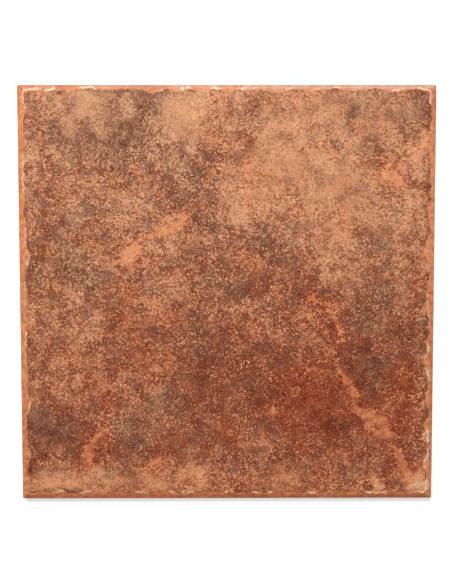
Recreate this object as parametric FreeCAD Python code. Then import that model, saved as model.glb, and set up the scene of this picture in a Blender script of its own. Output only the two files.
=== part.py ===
"""Square terracotta floor tile, pressed and fired as one piece.

The tile lies face up with its back on z = 0 and the middle of its back at the origin.
Its face is a raised field with a broken, deckled edge. Outside the deckle a bare shelf of clay
runs out level and then slopes down to the sides. The back has shallow square pockets, whose
ribs key into the bed.
"""

import FreeCAD
import Part
import math
import os

from FreeCAD import Vector

# Driving dimensions, in millimetres
tile_side = 333.0  # edge to edge, both ways
tile_thickness = 8.5  # from the ribs of the back to the face of the field
tile_corner_radius = 1.6  # upright corners of the body
side_arris = 0.5  # small bevel between the sides and the rim

rim_width = 4.5  # from the outer edge to the mean line of the deckle's foot
rim_outer_drop = 2.1  # from the field's face down to the outer edge of the rim
rim_shelf_drop = 0.9  # from the field's face down to the shelf, on which the deckle stands

deckle_batter = 0.7  # how far the broken edge leans inwards between its foot and its crest
field_corner_radius = 2.4  # corners of the field, at the deckle's crest
ripple_pitch = 9.0  # distance between the small ripples along the deckle
ripple_depth = 0.4  # how far those ripples go in and out
corner_calm = 9.0  # run beside each corner in which the deckle settles to its mean line

back_bevel = 1.0  # bevel along the lower edges
pocket_size = 32.0  # mouth of a pocket in the back
pocket_depth = 0.6  # height of the ribs
pocket_draft = 0.6  # how far each pocket wall leans in
rib_width = 6.0  # between two pockets
least_border = 12.0  # plain band that is left around the pockets, at the least

# Bites and lumps along the deckle: (place along the side from its middle, width, depth).
# Places run along +X on the front and back sides and along +Y on the left and right sides, so
# on the back and left sides they run against the way that the side is drawn.
# A depth is a share of rim_width, more than 0 for a bite and less than 0 for a lump.
deckle_bites = {
    "front": [
        (-153, 16, 0.22), (-140, 8, -0.18), (-132, 7, 0.20), (-123, 13, -0.20), (-109, 9, 0.18),
        (-89, 9, 0.15), (-80, 6, -0.20), (-64, 9, -0.20), (-49, 8, 0.12), (-34, 9, -0.14),
        (-16, 12, 0.10), (3, 7, -0.16), (24, 16, -0.12), (50, 9, 0.12), (70, 12, -0.18),
        (86, 9, -0.14), (104, 9, 0.10), (120, 12, -0.20), (139, 9, 0.16), (150, 9, -0.18),
    ],
    "right": [
        (-147, 9, -0.24), (-138, 8, 0.55), (-129, 11, -0.22), (-116, 10, -0.26), (-105, 8, 0.62),
        (-96, 12, -0.34), (-87, 7, 0.50), (-71, 14, -0.12), (-54, 8, 0.70), (-45, 8, -0.14),
        (-38, 6, 0.24), (-32, 7, -0.24), (-18, 8, -0.24), (-11, 7, 0.45), (0, 14, 0.10),
        (18, 9, -0.36), (34, 9, 0.95), (42, 8, 0.40), (51, 8, -0.34), (69, 9, 0.32),
        (77, 6, -0.28), (86, 9, -0.32), (98, 14, -0.20), (120, 16, 0.12), (142, 13, -0.22),
    ],
    "back": [
        (-144, 26, 0.10), (-117, 8, -0.30), (-109, 8, -0.34), (-78, 26, -0.20), (-60, 15, 0.42),
        (-48, 7, -0.20), (-40, 9, 0.24), (-29, 9, -0.20), (-21, 8, 0.20), (-12, 8, -0.10),
        (2, 9, 0.16), (20, 18, -0.10), (40, 14, 0.36), (55, 14, -0.16), (66, 7, 0.20),
        (85, 11, -0.36), (100, 12, 0.10), (117, 8, -0.34), (131, 10, 0.48), (149, 11, -0.12),
    ],
    "left": [
        (-152, 11, 0.22), (-141, 9, -0.12), (-130, 10, 0.46), (-98, 10, -0.10), (-87, 13, 0.72),
        (-66, 10, 0.30), (-43, 14, -0.10), (-31, 7, 0.20), (-18, 9, -0.10), (2, 9, 0.20),
        (12, 11, -0.12), (30, 16, 0.75), (53, 13, 0.20), (67, 11, -0.16), (76, 7, 0.22),
        (93, 22, -0.10), (114, 8, -0.22), (122, 9, 0.40), (132, 15, -0.12), (147, 9, 0.45),
    ],
}

# Levels and places that follow from the dimensions
half_side = tile_side / 2
rim_outer_level = tile_thickness - rim_outer_drop
shelf_level = tile_thickness - rim_shelf_drop
side_top_level = rim_outer_level - side_arris
furthest_lump = max(-share for bites in deckle_bites.values() for _, _, share in bites)
slope_width = rim_width * (1 - furthest_lump) - ripple_depth
broken_run = half_side - rim_width - deckle_batter - field_corner_radius
pocket_pitch = pocket_size + rib_width
pockets_a_side = max(1, int((tile_side - 2 * least_border + rib_width) // pocket_pitch))

# The sides in turn, anticlockwise seen from above, a quarter turn apart
sides = ["front", "right", "back", "left"]
points_a_ripple = 5


def deckle_inset(side, along):
    """Distance from the tile's outer edge to the deckle's foot, at a place along that side."""
    sign = -1 if side in ("back", "left") else 1
    bites = 0.0
    for place, width, share in deckle_bites[side]:
        spread = (along - sign * place) / (width / 2)
        bites += share * math.exp(-spread * spread)
    turn = 2 * math.pi * along / ripple_pitch + math.pi / 2 * sides.index(side)
    ripple = 0.6 * math.sin(turn) + 0.4 * math.sin(1.7 * turn)
    fade = max(0.0, min(1.0, (broken_run - abs(along)) / corner_calm))
    fade = fade * fade * (3 - 2 * fade)
    return rim_width + fade * (rim_width * bites + ripple_depth * ripple)


def ring(side_edge, reach, radius, level):
    """A closed outline of four side edges, joined by quarter circles round the corners.

    side_edge gives a side's edge as it would lie along the front, and reach is the distance
    from the tile's middle to the line of a side.
    """
    edges = []
    middle = reach - radius * (1 - math.sqrt(0.5))
    corner = [
        Vector(reach - radius, -reach, level),
        Vector(middle, -middle, level),
        Vector(reach, radius - reach, level),
    ]
    for quarters, side in enumerate(sides):
        for edge in (side_edge(side), Part.Arc(*corner).toShape()):
            edge.rotate(Vector(0, 0, 0), Vector(0, 0, 1), 90 * quarters)
            edges.append(edge)
    return Part.Wire(edges)


def straight_ring(inset, level):
    """The square outline of the body with its rounded corners, taken in by inset."""
    reach = half_side - inset
    half_run = reach - tile_corner_radius

    def side_edge(side):
        start = Vector(-half_run, -reach, level)
        return Part.LineSegment(start, Vector(half_run, -reach, level)).toShape()

    return ring(side_edge, reach, tile_corner_radius, level)


def deckle_ring(batter, level):
    """The broken outline of the field, taken in by batter from the deckle's foot."""
    reach = half_side - rim_width - batter
    radius = field_corner_radius + deckle_batter - batter
    count = max(8, round(2 * broken_run / ripple_pitch * points_a_ripple))

    def side_edge(side):
        points = []
        for i in range(count + 1):
            along = broken_run * (2 * i / count - 1)
            points.append(Vector(along, deckle_inset(side, along) + batter - half_side, level))
        curve = Part.BSplineCurve()
        along_side = Vector(1, 0, 0)
        curve.interpolate(Points=points, InitialTangent=along_side, FinalTangent=along_side)
        return curve.toShape()

    return ring(side_edge, reach, radius, level)


def body():
    """The slab with its upright sides, bevelled along its lower edges."""
    foot = Part.makeLoft([straight_ring(back_bevel, 0), straight_ring(0, back_bevel)], True, True)
    upright = Part.Face(straight_ring(0, back_bevel))
    upright = upright.extrude(Vector(0, 0, side_top_level - back_bevel))
    return foot.fuse(upright)


def rim():
    """The small bevel along the sides and the bare slope up to the level of the shelf."""
    sections = [
        straight_ring(0, side_top_level),
        straight_ring(side_arris, rim_outer_level),
        straight_ring(slope_width, shelf_level),
    ]
    return Part.makeLoft(sections, True, True)


def field():
    """The raised face, standing on the shelf inside its broken edge."""
    sections = [deckle_ring(0, shelf_level), deckle_ring(deckle_batter, tile_thickness)]
    return Part.makeLoft(sections, True, True)


def pocket(x, y):
    """One shallow pocket of the back, a square wedge that narrows to its floor, about x and y."""
    half_mouth = pocket_size / 2
    half_floor = half_mouth - pocket_draft
    low = (-half_mouth, 0, -half_mouth, -half_floor, -half_floor)
    high = (half_mouth, pocket_depth, half_mouth, half_floor, half_floor)
    wedge = Part.makeWedge(*low, *high)
    wedge.rotate(Vector(0, 0, 0), Vector(1, 0, 0), 90)
    wedge.translate(Vector(x, y, 0))
    return wedge


def back_pockets():
    """The square pattern of pockets, centred on the back."""
    first = -(pockets_a_side - 1) / 2 * pocket_pitch
    places = [first + i * pocket_pitch for i in range(pockets_a_side)]
    return Part.makeCompound([pocket(x, y) for x in places for y in places])


floor_tile = body().fuse(rim()).fuse(field()).removeSplitter().cut(back_pockets())
floor_tile = floor_tile.Solids[0]

os.makedirs("parts", exist_ok=True)
floor_tile.exportStep("parts/floor_tile.step")
print(f"floor_tile: valid {floor_tile.isValid()}, {len(floor_tile.Faces)} faces")
print(f"volume {floor_tile.Volume / 1000:.1f} cm3, box {floor_tile.BoundBox}")
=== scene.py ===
# %% [markdown]
# # A terracotta floor tile
# The tile is a square slab of pressed clay. Its raised face was washed with thin, earthy slips
# and worn back, its edge was broken by hand, and a bare rim slopes down to the sides.
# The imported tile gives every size. This lesson makes one closed mesh over it, with the small
# chips, lumps and hollows of the clay, and two materials, for the worn face and the bare clay.

import bpy
import numpy as np
from mathutils import Matrix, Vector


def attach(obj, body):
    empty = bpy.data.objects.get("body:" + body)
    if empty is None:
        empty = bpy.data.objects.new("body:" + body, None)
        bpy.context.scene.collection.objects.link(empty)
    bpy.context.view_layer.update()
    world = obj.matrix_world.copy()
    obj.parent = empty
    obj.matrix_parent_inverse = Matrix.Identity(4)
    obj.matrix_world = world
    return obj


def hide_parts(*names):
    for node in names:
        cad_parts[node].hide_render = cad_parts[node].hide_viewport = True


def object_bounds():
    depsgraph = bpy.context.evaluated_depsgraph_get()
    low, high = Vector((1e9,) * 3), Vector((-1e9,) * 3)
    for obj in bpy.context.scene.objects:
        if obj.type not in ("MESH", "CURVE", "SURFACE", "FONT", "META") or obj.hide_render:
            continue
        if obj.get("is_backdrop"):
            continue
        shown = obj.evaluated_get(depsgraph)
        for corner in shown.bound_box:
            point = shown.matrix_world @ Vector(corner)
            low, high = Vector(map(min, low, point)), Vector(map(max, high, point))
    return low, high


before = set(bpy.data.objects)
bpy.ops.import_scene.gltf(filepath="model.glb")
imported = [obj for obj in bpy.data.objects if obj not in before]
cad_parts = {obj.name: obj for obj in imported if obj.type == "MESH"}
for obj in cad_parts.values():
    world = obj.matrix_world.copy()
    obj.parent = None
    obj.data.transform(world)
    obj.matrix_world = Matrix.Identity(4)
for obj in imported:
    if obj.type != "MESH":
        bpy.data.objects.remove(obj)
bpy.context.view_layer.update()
cad_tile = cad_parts["floor_tile"]

# %% [markdown]
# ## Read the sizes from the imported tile
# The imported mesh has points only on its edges, so its levels and outlines can be read straight
# from them. The points on the top level are the crest of the broken edge and nothing else.
# Reading them keeps this piece in step with the solid, with no size written down twice.

# %% Levels and straight edges
MM = 0.001
flat_points = np.empty(len(cad_tile.data.vertices) * 3)
cad_tile.data.vertices.foreach_get("co", flat_points)
points = flat_points.reshape(-1, 3) / MM
half_side = points[:, 0].max()
point_inset = half_side - np.abs(points[:, :2]).max(axis=1)


def at_level(level):
    """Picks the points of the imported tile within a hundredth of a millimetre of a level."""
    return np.abs(points[:, 2] - level) < 0.01


# A level with an edge all round it has a hundred points or more.
level_found, level_count = np.unique(np.round(points[:, 2], 1), return_counts=True)
edge_levels = level_found[level_count >= 100]
back_level, pocket_floor, bevel_top, side_top, rim_edge, shelf = edge_levels[:6]
face_level = edge_levels[-1]
arris = point_inset[at_level(rim_edge)].min()
slope_width = point_inset[at_level(shelf)].min()
bevel_width = point_inset[at_level(back_level)].min()
batter = point_inset[at_level(face_level)].max() - point_inset[at_level(shelf)].max()
print("levels in mm:", edge_levels, "rim slope ends", round(slope_width, 2), "mm in")

# %% The broken edge, side by side
# For each side: the axis along it, the axis across it, and which end of that axis it is on.
side_axes = {"front": (0, 1, -1), "right": (1, 0, 1), "back": (0, 1, 1), "left": (1, 0, -1)}
# The round corners of the face lie within corner_run of a side's ends, and no bite reaches in as far
# as bite_limit. Both are in mm.
corner_run, bite_limit = 8.5, 20
settled = half_side - corner_run
crest_lines = {}
top_points = points[at_level(face_level)]
for side, (along_axis, across_axis, sign) in side_axes.items():
    along = top_points[:, along_axis]
    inset = half_side - sign * top_points[:, across_axis]
    on_side = (np.abs(along) < settled) & (inset < bite_limit)
    order = np.argsort(along[on_side])
    crest_lines[side] = (along[on_side][order], inset[on_side][order])
    print(side, "crest", inset[on_side].min().round(2), "to", inset[on_side].max().round(2), "mm in")

mean_crest = crest_lines["front"][1][0]
mean_foot = mean_crest - batter

# %% [markdown]
# ## Seeded noise for clay
# Clay is never quite even. A lattice of seeded random numbers, blended smoothly, gives hollows
# and lumps that are the same on every run. Blender's own noise could do this in the material,
# but here it has to move the points of the mesh, so it is worked out with numpy.

# %% Two kinds of noise


def lattice_noise(x, y, spacing, seed):
    """Smooth noise from 0 to 1.

    Seeded random numbers sit on a square lattice with that spacing, and a point takes the four
    round it, blended by the smoothstep of its place between them.
    """
    count = 512
    lattice = np.random.default_rng(seed).random((count, count))
    column = np.floor(x / spacing).astype(int)
    row = np.floor(y / spacing).astype(int)
    across = x / spacing - column
    up = y / spacing - row
    across = across * across * (3 - 2 * across)
    up = up * up * (3 - 2 * up)
    left, right = column % count, (column + 1) % count
    low, high = row % count, (row + 1) % count
    lower = lattice[low, left] * (1 - across) + lattice[low, right] * across
    upper = lattice[high, left] * (1 - across) + lattice[high, right] * across
    return lower * (1 - up) + upper * up


def clouds(x, y, spacing, seed):
    """Three octaves of lattice noise from -1 to 1, each half as wide and half as strong as the last."""
    total = 0
    for octave in range(3):
        share = 0.5 ** octave
        total = total + share * (2 * lattice_noise(x, y, spacing * share, seed + octave) - 1)
    return total / 1.75


print("noise at the middle:", lattice_noise(np.zeros(1), np.zeros(1), 5, 1).round(3))

# %% [markdown]
# ## Lines of the mesh
# The face is a square grid whose lines lie close together over the rim and the broken edge, and
# further apart in the middle. The back has lines only along the pockets, so every third line of
# the face meets one of the back. That keeps the mesh fine where the eye looks for detail.

# %% Lines of the back, then of the face
# The pockets, and the grid of the back with them, lie further in than this border, in mm.
back_border = 12.0
back_half = half_side - back_border
mouth = np.unique(np.round(points[at_level(back_level)][:, 0], 2))
mouth = mouth[np.abs(mouth) < back_half]
floor_edge = np.unique(np.round(points[at_level(pocket_floor)][:, 0], 2))
# Lines half a millimetre beside each pocket edge keep its shading soft and narrow.
soft = 0.5
pocket_lines = []
for start, end, low, high in zip(mouth[::2], mouth[1::2], floor_edge[::2], floor_edge[1::2]):
    inner = np.linspace(low + soft, high - soft, 5)
    pocket_lines += [start - soft, start, low, *inner, high, end, end + soft]
border = (back_half + pocket_lines[0]) / 2
back_lines = np.array([-back_half, -back_half + border, *pocket_lines, back_half - border, back_half])
back_cells = len(back_lines) - 1

edge_rows = np.array([
    0, 0.25, 0.5, 0.9, 1.3, 1.8, 2.4, 3.0, 3.5, 4.0, 4.5, 4.72, 4.96, 5.2,
    5.5, 5.9, 6.4, 7.0, 7.7, 8.5, 9.4, 10.4, 11.5, 12.6,
])
face_cells = 3 * back_cells
middle_reach = half_side - edge_rows[-1]
middle_lines = np.linspace(-middle_reach, middle_reach, face_cells - 2 * len(edge_rows) + 3)
face_lines = np.concatenate([edge_rows - half_side, middle_lines[1:-1], half_side - edge_rows[::-1]])
print("cells a side:", back_cells, "on the back,", face_cells, "on the face,",
      "middle spacing", np.diff(middle_lines)[0].round(2), "mm")

# %% [markdown]
# ## The broken edge
# The solid has the bites and lumps of the edge. The real edge is also frayed on a smaller scale,
# where grains of clay came away, so each side gets a fine fraying on top of the solid's line.
# The rows of the grid are then drawn in or out, so that one row runs along the foot of the
# broken edge and one along its crest, and the small wall between them stays crisp.

# %% Foot of the edge and the rows that follow it
# How much further in the edge has worn on each side, in mm, and how far in the rows stay straight
side_wear = {"front": 0.5, "right": 0, "back": -0.8, "left": 0}
straight_to = 1.8


def foot_inset(side, along):
    """Distance from the outer edge to the foot of the broken edge.

    The solid's crest less the batter of the wall, worn a little out or in on two sides and frayed
    by two sizes of noise. Wear and fraying fade out beside the corners.
    """
    crest = np.interp(along, *crest_lines[side])
    seed = 40 + list(side_axes).index(side)
    row = np.zeros_like(along)
    fray = 0.34 * (2 * lattice_noise(along, row, 2.6, seed) - 1)
    fray = fray + 0.20 * (2 * lattice_noise(along, row, 1.3, seed + 10) - 1)
    fade = np.clip((settled - np.abs(along)) / 6, 0, 1)
    return np.maximum(crest - batter + (fray + side_wear[side]) * fade, straight_to + 0.4)


def follow_edge(inset, foot):
    """Moves a row at an even inset to where it runs beside a foot that bends.

    Rows near the outer edge stay. Rows up to the mean foot stretch to the bent one, the wall
    keeps its width, and the rows inside it shrink to meet the first row that stays.
    """
    last = edge_rows[-1]
    outer = np.clip((inset - straight_to) / (mean_foot - straight_to), 0, 1)
    wall = np.clip((inset - mean_foot) / batter, 0, 1)
    inner = np.clip((inset - mean_crest) / (last - mean_crest), 0, 1)
    place = np.minimum(inset, straight_to) + outer * (foot - straight_to) + wall * batter
    return place + inner * (last - foot - batter) + np.maximum(inset - last, 0)


side_points = points[at_level(side_top)]
corner_radius = half_side - side_points[side_points[:, 1] >= half_side - 0.001][:, 0].max()


def round_corners(x, y, reach):
    """Rounds the corners of a square grid: within a radius of both sides, the square of that size
    goes to a quarter disc, each coordinate times the root of one less half the other squared."""
    across = np.clip((np.abs(x) - reach) / corner_radius + 1, 0, None)
    up = np.clip((np.abs(y) - reach) / corner_radius + 1, 0, None)
    in_corner = (across > 0) & (up > 0)
    new_x = np.sign(x) * (reach + corner_radius * (across * np.sqrt(1 - up * up / 2) - 1))
    new_y = np.sign(y) * (reach + corner_radius * (up * np.sqrt(1 - across * across / 2) - 1))
    return np.where(in_corner, new_x, x), np.where(in_corner, new_y, y)


even_x, even_y = np.meshgrid(face_lines, face_lines)
face_x = np.where(
    even_x < 0,
    follow_edge(half_side + even_x, foot_inset("left", even_y)) - half_side,
    half_side - follow_edge(half_side - even_x, foot_inset("right", even_y)),
)
face_y = np.where(
    even_y < 0,
    follow_edge(half_side + even_y, foot_inset("front", even_x)) - half_side,
    half_side - follow_edge(half_side - even_y, foot_inset("back", even_x)),
)
face_x, face_y = round_corners(face_x, face_y, half_side)
print("face grid of", face_x.size, "points, corner radius", round(corner_radius, 2), "mm")

# %% [markdown]
# ## Distances that shape the face
# Two distances say where a point is on the face: how far it lies inside the outer edge, and how
# far inside the foot of the broken edge. Heights, colours and gloss all follow them.

# %% Distance from the outer edge and from the foot


def inside_rounded(to_side, to_end, radius):
    """Distance inside a square with round corners, from the distances inside its two nearest sides.

    Within a radius of both sides it is the radius less the distance from the corner's centre.
    """
    across = np.maximum(radius - to_side, 0)
    up = np.maximum(radius - to_end, 0)
    return radius - np.hypot(across, up) + np.maximum(np.minimum(to_side, to_end) - radius, 0)


from_edge = inside_rounded(half_side - np.abs(face_x), half_side - np.abs(face_y), corner_radius)
to_side = np.minimum(
    half_side + face_x - foot_inset("left", face_y), half_side - face_x - foot_inset("right", face_y))
to_end = np.minimum(
    half_side + face_y - foot_inset("front", face_x), half_side - face_y - foot_inset("back", face_x))
foot_radius = 3.1
from_foot = inside_rounded(to_side, to_end, foot_radius)
print("from the foot:", from_foot.min().round(2), "to", from_foot.max().round(2), "mm")

# %% [markdown]
# ## Worn patches
# Where feet and hard edges rubbed the slip off, bare orange clay shows in long scars. Each scar
# is a few straight strokes, listed one by one, and noise bends them, so that none looks ruled.
# The same strokes lower the surface a little and bare the clay in the material.

# %% Strokes and the scars made of them


def stroke_distance(x, y, start_x, start_y, end_x, end_y):
    """Distance from points to a straight stroke: to the nearest place between its two ends."""
    run_x, run_y = end_x - start_x, end_y - start_y
    length = max(run_x * run_x + run_y * run_y, 1e-6)
    share = np.clip(((x - start_x) * run_x + (y - start_y) * run_y) / length, 0, 1)
    return np.hypot(x - start_x - share * run_x, y - start_y - share * run_y)


# Each stroke: start x, start y, end x, end y, half width, all in mm from the tile's middle, and how
# bare it is along its line: 1 is wholly bare, and below that the slip stays in more and more flecks.
scar_strokes = [
    (-70, 45, -61, 47, 2, 0.65), (-61, 47, -51, 51, 2.6, 0.8), (-51, 51, -40, 54, 3.6, 1),
    (-39, 55, -33, 63, 2.5, 0.85), (-48, 61, -46, 54, 1.4, 0.55), (-43, 63, -41, 57, 1.4, 0.55),
    (-92, 24, -82, 28, 2.2, 0.4), (-80, 30, -72, 37, 4.2, 0.9), (126, 97, 137, 90, 5.5, 0.9),
    (146, 104, 154, 112, 3, 0.3), (154, 114, 159, 124, 4, 0.5), (146, 8, 152, 2, 2, 0.3),
    (-97, -108, -104, -116, 2.4, 0.4), (-105, -115, -110, -123, 2.8, 0.7),
    (-112, -124, -112, -134, 4.4, 0.9), (66, -4, 76, -6, 4, 0.3), (76, -6, 86, -16, 4, 0.4),
    (86, -16, 93, -36, 4.2, 0.42), (60, -10, 80, -30, 9, 0.05), (71, -34, 82, -46, 4.4, 0.4),
    (66, -60, 78, -62, 3, 0.55), (84, -44, 90, -60, 5, 0.2), (91, -62, 97, -70, 2.8, 0.6),
    (97, -70, 102, -80, 3.4, 0.9), (101, -82, 104, -90, 3, 0.3), (104, -93, 116, -97, 3.4, 0.8),
    (115, -99, 124, -103, 5.4, 1), (125, -104, 130, -113, 4.4, 0.85), (114, -108, 126, -114, 3.4, 0.55),
    (133, -121, 137, -129, 3, 0.5), (138, -130, 143, -138, 4.6, 0.75), (143, -138, 147, -147, 4.2, 0.7),
    (149, -150, 156, -148, 5, 0.4), (35, -92, 38, -95, 2.8, 0.6), (66, -113, 68, -115, 2, 0.5),
    (55, -125, 58, -127, 2, 0.5), (-62, -138, -54, -134, 3, 0.5), (-18, 92, -8, 98, 2, 0.3),
    (20, -40, 60, -70, 14, -0.35), (110, -130, 60, -130, 12, -0.35), (0, -100, 40, -120, 12, -0.3),
]
bend_x = face_x + 2.2 * clouds(face_x, face_y, 7, 60)
bend_y = face_y + 2.2 * clouds(face_x, face_y, 7, 70)
scar = np.full(face_x.shape, -1.0)
for start_x, start_y, end_x, end_y, width, bareness in scar_strokes:
    distance = stroke_distance(bend_x, bend_y, start_x, start_y, end_x, end_y)
    scar = np.maximum(scar, bareness - distance / width)
print("points bared by scars:", int((scar > 0).sum()))

# %% [markdown]
# ## Beads along the edge
# Pale slip ran over the broken edge and dried at its foot in small beads. They come in runs, listed
# for each side from one end to the other. They raise the mesh a little and have a colour of their
# own, so the runs are worked out before the heights.

# %% Runs of pale slip
# Each run: where it starts and ends along its side in mm, and how strong it is.
cream_runs = {
    "back": [
        (-163, -148, 0.8), (-146, -134, 1.0), (-118, -104, 0.8), (-52, -49, 0.6), (-38, -28, 1.0),
        (-13, -4, 0.9), (5, 16, 0.7), (20, 26, 0.6), (46, 52, 0.5), (66, 75, 0.4), (84, 92, 0.5),
        (130, 141, 0.75), (148, 163, 0.7),
    ],
    "right": [
        (-162, -150, 1.0), (-142, -126, 0.9), (-121, -110, 1.0), (-82, -78, 0.7), (-70, -60, 0.9),
        (-53, -38, 0.8), (-20, -15, 0.6), (-8, 3, 0.7), (19, 22, 0.5), (78, 81, 1.0), (125, 130, 0.6),
        (158, 164, 0.4),
    ],
    "front": [
        (-142, -132, 0.9), (-121, -110, 0.8), (-106, -97, 0.5), (-75, -63, 0.8), (-48, -43, 1.0),
        (-37, -27, 1.0), (-2, 5, 1.0), (20, 28, 0.8), (33, 37, 1.0), (65, 73, 0.9), (82, 86, 0.7),
        (104, 108, 0.6), (112, 130, 1.0), (133, 138, 0.6), (146, 157, 0.5), (157, 163, 1.0),
    ],
    "left": [
        (-138, -125, 0.5), (-97, -86, 0.6), (-60, -45, 0.5), (-42, -30, 0.8), (-12, 0, 0.45),
        (2, 12, 0.6), (22, 35, 0.65), (35, 55, 0.6), (80, 100, 0.85), (100, 112, 0.8), (120, 140, 0.5),
        (145, 163, 0.6),
    ],
}


def run_strength(runs):
    """How strong the runs are at each point: the strongest run of the side that the point is nearest
    to, rising and falling over three millimetres at the run's ends."""
    strength = np.zeros_like(face_x)
    for side, (along_axis, across_axis, sign) in side_axes.items():
        along = (face_x, face_y)[along_axis]
        inset = half_side - sign * (face_x, face_y)[across_axis]
        for start, end, amount in runs[side]:
            middle, reach = (start + end) / 2, (end - start) / 2
            share = np.clip((reach + 1.5 - np.abs(along - middle)) / 3, 0, 1) * (inset < 16)
            strength = np.maximum(strength, amount * share)
    return strength


def nearest_to(outwards, along):
    """1 where a side is the nearest and 0 elsewhere, with a blend 4 mm wide at its mitres.

    A half plus a quarter of the difference, kept from 0 to 1: of the coordinate that grows outwards
    to that side, less the size of the one that runs along it.
    """
    return np.clip(0.5 + (outwards - np.abs(along)) / 4, 0, 1)


cream = run_strength(cream_runs)
# The middle of a bead lies out on the shelf at the back, and up on the crest at the front.
towards_back, towards_front = nearest_to(face_y, face_x), nearest_to(-face_y, face_x)
from_bead = from_foot - 0.2 + 0.5 * towards_back - 0.6 * towards_front
print("points in runs of pale slip:", int((cream > 0).sum()))

# %% [markdown]
# ## Heights of the face
# From the outer edge inwards the clay rises over a small arris and a slope to the level shelf.
# The broken wall stands on the shelf, and inside it the pressed face has shallow hollows, a fine
# grain, and a crest that is lower where lumps broke away. Nothing rises above the solid.

# %% Profile and relief


def smooth_low(value, limit, reach):
    """The lower of a value and a limit, with the bend between them rounded over a reach."""
    share = np.clip(0.5 + 0.5 * (limit - value) / reach, 0, 1)
    return limit + (value - limit) * share - reach * share * (1 - share)


# Worn clay is rounder than the solid: its slope reaches further in and its wall leans more.
worn_slope = slope_width + 0.9
worn_wall = 2 * batter
slope_share = smooth_low((from_edge - arris) / (worn_slope - arris), 1, 0.3)
rim_height = rim_edge + (shelf - rim_edge) * slope_share
rim_height = np.where(from_edge < arris, side_top + (rim_edge - side_top) * from_edge / arris, rim_height)
rim_hollow = 0.10 + 0.10 * clouds(face_x, face_y, 9, 81)
rim_height = rim_height - rim_hollow * np.clip((from_edge - arris) / 0.8, 0, 1)

wall_share = np.clip(from_foot / worn_wall, 0, 1)
wall_share = wall_share * wall_share * (3 - 2 * wall_share)
# Hollows from wide to narrow, then the lost lumps of the crest and the wear of the scars, in mm
hollow = 0.10 + 0.07 * clouds(face_x, face_y, 34, 84)
hollow = hollow + 0.06 * (1 + clouds(face_x, face_y, 7, 88)) * 0.5
hollow = hollow + 0.07 * lattice_noise(face_x, face_y, 2.7, 92)
crest_near = np.exp(-((from_foot - worn_wall) / 1.6) ** 2)
hollow = hollow + 0.28 * crest_near * lattice_noise(face_x, face_y, 4.2, 95)
hollow = hollow + 0.10 * np.clip(scar * 3, 0, 1)
face_z = rim_height + (face_level - rim_height - hollow) * wall_share
# A bead of slip fills the foot of the wall, and fades out up the wall and over the shelf.
bead_height = 0.7 * cream * (0.7 + 0.6 * lattice_noise(face_x, face_y, 3, 98))
bead_height = bead_height * np.exp(-((from_foot - 0.35) / 0.85) ** 2)
face_z = face_z + bead_height * (1 - wall_share)
print("face from", face_z.min().round(2), "to", face_z.max().round(2), "mm")

# %% [markdown]
# ## Sides, bevel and back
# Below the arris the tile has plain upright sides and a small bevel, and its back has shallow
# square pockets that grip the bed. Rings carried down from the grid's rim make the sides, and a
# second, coarser grid makes the back.

# %% Rings down the sides and under the bevel


def square_loop(grid):
    """The border of a square grid in turn, anticlockwise from its first corner, seen from above."""
    return np.concatenate([grid[0, :-1], grid[:-1, -1], grid[-1, :0:-1], grid[:0:-1, 0]])


third_lines = np.interp(np.arange(face_cells + 1) / 3, np.arange(back_cells + 1), back_lines) / back_half
# Each ring: how far in it is, its level, and how far its points have moved towards the back's lines.
ring_places = [
    (0, side_top - 0.4, 0), (0, (side_top + bevel_top) / 2, 0), (0, bevel_top + 0.35, 0), (0, bevel_top, 0),
    (bevel_width, back_level, 0), (3.5, back_level, 0.35), (6.5, back_level, 0.7), (9.5, back_level, 1),
]
ring_points = []
for number, (inset, level, share) in enumerate(ring_places):
    reach = half_side - inset
    lines = reach * ((1 - share) * face_lines / half_side + share * third_lines)
    ring_x, ring_y = (square_loop(part) for part in np.meshgrid(lines, lines))
    if share == 0:
        ring_x, ring_y = round_corners(ring_x, ring_y, reach)
    if level > bevel_top:
        worn = 1 - 0.0007 * lattice_noise(ring_x + ring_y, ring_x - ring_y + 9 * number, 5, 120)
        ring_x, ring_y = ring_x * worn, ring_y * worn
    ring_points.append(np.stack([ring_x, ring_y, np.full_like(ring_x, level)], axis=1))
print(len(ring_points), "rings of", len(ring_points[0]), "points")

# %% Back with its pockets
pocket_corners = np.sort(np.concatenate([mouth, floor_edge]))
pocket_share = np.interp(back_lines, pocket_corners, np.tile([0, 1, 1, 0], len(mouth) // 2))
share_x, share_y = np.meshgrid(pocket_share, pocket_share)
back_x, back_y = np.meshgrid(back_lines, back_lines)
pocket_depth = np.minimum(share_x, share_y)
back_z = back_level + pocket_depth * (pocket_floor + 0.05 * clouds(back_x, back_y, 12, 130))
print("pockets:", (len(mouth) // 2) ** 2, "deepest", back_z.max().round(2), "mm")

# %% [markdown]
# ## One closed mesh
# Face, rings and back are joined in one mesh with no seam. Three edges of the last ring meet
# one edge of the back's border, so the faces there have six corners and all lie flat.

# %% Join the parts


def grid_faces(grid):
    """The four corners of every cell of a grid of point numbers, anticlockwise."""
    corners = [grid[:-1, :-1], grid[:-1, 1:], grid[1:, 1:], grid[1:, :-1]]
    return np.stack(corners, axis=-1).reshape(-1, 4)


def put_in_scene(name, data):
    """Makes an object of some data, at the origin, and links it to the scene."""
    made = bpy.data.objects.new(name, data)
    bpy.context.scene.collection.objects.link(made)
    return made


face_grid = np.arange(face_x.size).reshape(face_x.shape)
loops = [square_loop(face_grid)]
next_point = face_x.size
for ring in ring_points:
    loops.append(next_point + np.arange(len(ring)))
    next_point += len(ring)
back_grid = next_point + np.arange(back_x.size).reshape(back_x.shape)

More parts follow.
